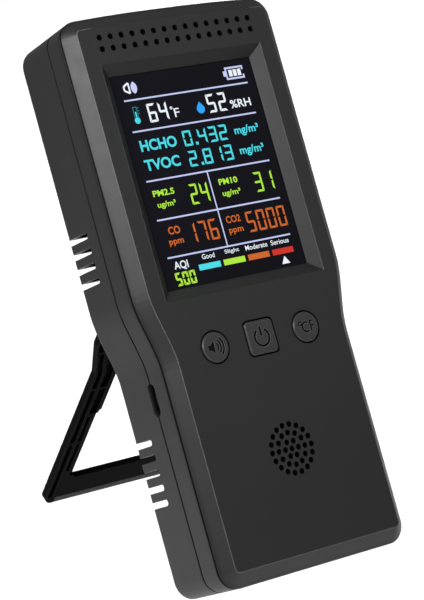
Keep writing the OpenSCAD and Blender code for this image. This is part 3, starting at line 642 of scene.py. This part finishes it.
def draw_climate(inks):
    """Temperature and humidity, in the second row."""
    plain, blue, teal = inks["plain"], inks["blue"], inks["teal"]
    teal.frame(-21.5, -19.9, 147.0, 150.6, 0.28)
    inks["cyan"].box(-20.95, -20.45, 146.6, 149.0)
    inks["cyan"].disc(-20.7, 146.2, 1.05)
    for z in (148.2, 149.1, 150.0):
        teal.box(-19.8, -19.2, z, z + 0.25)
    number(plain, "64", -16.25, -8.95, 144.9, 150.9, 0.74, 3.15)
    plain.ring(-7.4, 148.5, 0.2, 0.5, 0, 360, 12)
    plain.words("F", -6.7, -4.7, 145.4, 148.2, 0.005)
    drop_x, drop_z, drop_r, drop_steps = 3.5, 146.75, 1.5, 18
    angles = [math.radians(150 + 240 * i / drop_steps) for i in range(drop_steps + 1)]
    blue.outline(
        [(drop_x, 149.1)] + [(drop_x + drop_r * math.cos(t), drop_z + drop_r * math.sin(t)) for t in angles]
    )
    number(plain, "52", 6.35, 13.75, 144.95, 150.95, 0.74, 3.15)
    plain.words("%RH", 15.0, 23.0, 145.3, 148.0, 0.018)


# ---------- keys ----------

KEY_Z = (case_box("button_power")[0].z + case_box("button_power")[1].z) / 2
# A cap is narrower than its node by the hidden flange, 0.8 on each side, and by 0.1 more on each side
CAP_NARROWER = 1.8
CAP_RIM = 0.8
CAP_DEPTH = 3.6
POWER_CORNER = 1.6


def ring_points(radius, steps=72):
    angles = (2 * math.pi * i / steps for i in range(steps))
    return [(radius * math.cos(t), radius * math.sin(t)) for t in angles]


def square_points(side, corner, steps=12):
    """Outline of a square with round corners."""
    points = []
    centre = (side / 2 - corner) * math.sqrt(2)
    for quarter in range(4):
        turn = math.radians(90 * quarter)
        middle = turn + math.radians(45)
        for i in range(steps + 1):
            t = turn + math.radians(90 * i / steps)
            points.append((
                centre * math.cos(middle) + corner * math.cos(t),
                centre * math.sin(middle) + corner * math.sin(t),
            ))
    return points


def key_cap(node, body, outline):
    """Visible cap of a key: straight sides, a rounded rim and a flat face."""
    low, high = case_box(node)
    middle = (low.x + high.x) / 2
    mesh = bmesh.new()
    profile = [(CAP_DEPTH, 0.0)] + [
        (CAP_RIM - CAP_RIM * math.sin(math.radians(a)), CAP_RIM - CAP_RIM * math.cos(math.radians(a)))
        for a in range(0, 91, 15)
    ]
    rings = []
    for depth, inset in profile:
        rings.append([
            mesh.verts.new(at_case(middle + x, low.y + depth, KEY_Z + z)) for x, z in outline(inset)
        ])
    count = len(rings[0])
    for a, b in zip(rings, rings[1:]):
        for i in range(count):
            j = (i + 1) % count
            mesh.faces.new((a[i], a[j], b[j], b[i]))
    mesh.faces.new(rings[-1])
    mesh.faces.new(list(reversed(rings[0])))
    bmesh.ops.recalc_face_normals(mesh, faces=mesh.faces)
    data = bpy.data.meshes.new(node + "_cap")
    mesh.to_mesh(data)
    mesh.free()
    data.materials.append(FINISHES["button_plastic"])
    data.materials.append(ENGRAVING_SHADE)
    piece = bpy.data.objects.new(node + "_cap", data)
    bpy.context.scene.collection.objects.link(piece)
    engrave(piece, SYMBOLS[node], middle, low.y)
    for polygon in piece.data.polygons:
        polygon.use_smooth = False
    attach(piece, body)
    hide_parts(node)


def engrave(piece, strokes, x, y):
    """Presses closed outlines, given in mm round the key's middle, into its face."""
    clear, deep = -0.4, 0.28
    for points in strokes:
        cutter = bmesh.new()
        ends = []
        for depth in (clear, deep):
            ends.append([cutter.verts.new(at_case(x + px, y + depth, KEY_Z + pz)) for px, pz in points])
        count = len(points)
        cutter.faces.new(ends[0])
        cutter.faces.new(list(reversed(ends[1])))
        for i in range(count):
            j = (i + 1) % count
            cutter.faces.new((ends[0][j], ends[0][i], ends[1][i], ends[1][j]))
        bmesh.ops.recalc_face_normals(cutter, faces=cutter.faces)
        data = bpy.data.meshes.new("cutter")
        cutter.to_mesh(data)
        cutter.free()
        data.materials.append(ENGRAVING_SHADE)
        tool = bpy.data.objects.new("cutter", data)
        bpy.context.scene.collection.objects.link(tool)
        cut = piece.modifiers.new("cut", "BOOLEAN")
        cut.operation = "DIFFERENCE"
        cut.solver = "EXACT"
        cut.material_mode = "TRANSFER"
        cut.object = tool
        bpy.context.view_layer.update()
        result = bpy.data.meshes.new_from_object(
            piece.evaluated_get(bpy.context.evaluated_depsgraph_get())
        )
        piece.modifiers.remove(cut)
        piece.data = result
        bpy.data.objects.remove(tool)


def arc_stroke(x, z, radius, width, start, end, steps=16):
    """Closed outline of a curved stroke."""
    angles = [math.radians(start + (end - start) * i / steps) for i in range(steps + 1)]
    outer, inner = (
        [(x + r * math.cos(t), z + r * math.sin(t)) for t in angles]
        for r in (radius + width / 2, radius - width / 2)
    )
    return outer + inner[::-1]


def line_stroke(x0, z0, x1, z1, width):
    """Closed outline of a straight stroke."""
    along = Vector((x1 - x0, z1 - z0)).normalized() * (width / 2)
    return [
        (x0 - along.y, z0 + along.x), (x0 + along.y, z0 - along.x),
        (x1 + along.y, z1 - along.x), (x1 - along.y, z1 + along.x),
    ]


SYMBOLS = {
    "button_sound": [
        [(-2.9, -0.8), (-2.0, -0.8), (-0.6, -1.9), (-0.6, 1.9), (-2.0, 0.8), (-2.9, 0.8)],
        arc_stroke(-0.7, 0, 1.5, 0.55, -48, 48),
        arc_stroke(-0.7, 0, 2.5, 0.55, -48, 48),
        arc_stroke(-0.7, 0, 3.5, 0.55, -48, 48),
    ],
    "button_power": [
        arc_stroke(0, -0.2, 2.7, 0.7, 122, 418, 40),
        line_stroke(0, 0.2, 0, 3.2, 0.7),
    ],
    "button_unit": [
        arc_stroke(-2.2, 1.2, 0.62, 0.42, 0, 350, 18),
        arc_stroke(-0.1, -0.1, 1.5, 0.55, 55, 305, 24),
        line_stroke(1.7, -1.8, 1.7, 1.8, 0.55),
        line_stroke(1.98, 1.55, 3.3, 1.55, 0.5),
        line_stroke(1.98, 0.1, 2.9, 0.1, 0.5),
    ],
}


def make_keys():
    """Caps in place of the CAD keys, without the flange that holds each key behind the face."""
    round_d = case_box("button_sound")[1].x - case_box("button_sound")[0].x - CAP_NARROWER
    square_d = case_box("button_power")[1].x - case_box("button_power")[0].x - CAP_NARROWER
    key_cap("button_sound", "sound_key", lambda inset: ring_points(round_d / 2 - inset))
    key_cap("button_unit", "unit_key", lambda inset: ring_points(round_d / 2 - inset))
    key_cap(
        "button_power", "power_key",
        lambda inset: square_points(square_d - 2 * inset, POWER_CORNER - inset * 0.9),
    )


# ---------- light, floor and camera ----------


def area_light(name, place, aim, size, power, height=None):
    """A rectangular lamp that shines from place towards aim."""
    data = bpy.data.lights.new(name, "AREA")
    data.shape = "RECTANGLE"
    data.size, data.size_y = size, height or size
    data.energy = power
    lamp = bpy.data.objects.new(name, data)
    lamp.location = place
    lamp.rotation_mode = "QUATERNION"
    lamp.rotation_quaternion = (Vector(aim) - Vector(place)).to_track_quat("-Z", "Y")
    bpy.context.scene.collection.objects.link(lamp)
    return lamp


def make_stage():
    """Pale floor and studio lamps: key and fill leave the floor out, and the wash lights only the floor."""
    centre = (cad_box[0] + cad_box[1]) / 2
    floor = bpy.data.meshes.new("floor")
    half = 6
    floor.from_pydata(
        [(-half, -half, 0), (half, -half, 0), (half, half, 0), (-half, half, 0)], [], [(0, 1, 2, 3)]
    )
    s = Shader("pale_floor", 0.85)
    shade = s.mix(s.noise(3, 3), (0.80, 0.80, 0.805), (0.83, 0.83, 0.835))
    floor.materials.append(s.finish(shade, s.spread(s.noise(40, 3), 0.8, 0.92)))
    sheet = bpy.data.objects.new("floor", floor)
    bpy.context.scene.collection.objects.link(sheet)

    world = bpy.data.worlds.new("studio")
    world.use_nodes = True
    backdrop = world.node_tree.nodes["Background"]
    backdrop.inputs["Color"].default_value = (1.0, 1.0, 1.0, 1)
    backdrop.inputs["Strength"].default_value = 0.26
    bpy.context.scene.world = world

    key = area_light(
        "key_left", centre + Vector((-0.27, -0.10, 0.22)), centre + Vector((-0.03, 0.02, 0.07)), 0.12, 1.3
    )
    behind = Vector((0.36, 0.51, 0))
    wash = area_light("floor_wash", behind + Vector((0, 0, 0.75)), behind, 0.39, 3.2, 1.9)
    wash.data.spread = math.radians(35)
    wash.rotation_quaternion = Matrix.Rotation(math.radians(-37), 3, "Z").to_quaternion()
    fill = area_light(
        "fill_right", centre + Vector((0.256, -0.27, 0.289)), centre + Vector((0, 0.03, 0.09)), 0.25, 0.19
    )
    floor_only = bpy.data.collections.new("floor_only")
    floor_only.objects.link(sheet)
    display = [piece for piece in bpy.data.objects if piece.name.startswith("display_")]
    darker = [frame["nodes"][name] for name in ("screen_lens", "kickstand")]
    for lamp, left_out in ((key, [sheet]), (fill, [sheet, *display, *darker])):
        lit_by = bpy.data.collections.new(lamp.name + "_lights")
        for item in left_out:
            lit_by.objects.link(item)
        for entry in lit_by.collection_objects:
            entry.light_linking.link_state = "EXCLUDE"
        lamp.light_linking.receiver_collection = lit_by
    wash.light_linking.receiver_collection = floor_only
    wash.light_linking.blocker_collection = floor_only
    bpy.context.scene.view_settings.view_transform = "Standard"


def make_camera():
    """The camera looks slightly down at the case from the front left, a little rolled."""
    azimuth, elevation, roll = 36.931, 19.085, 1.702
    place = Vector((-443.04, -553.85, 336.82)) * MM
    data = bpy.data.cameras.new("camera")
    data.sensor_width = 36
    data.lens = 148.06
    camera = bpy.data.objects.new("camera", data)
    turn = Matrix.Rotation(math.radians(-azimuth), 4, "Z")
    tilt = Matrix.Rotation(math.radians(90 - elevation), 4, "X")
    rolled = Matrix.Rotation(math.radians(roll), 4, "Z")
    camera.matrix_world = Matrix.Translation(place) @ turn @ tilt @ rolled
    bpy.context.scene.collection.objects.link(camera)
    bpy.context.scene.camera = camera


dress_cad_nodes()
draw_display()
make_keys()
make_stage()
make_camera()
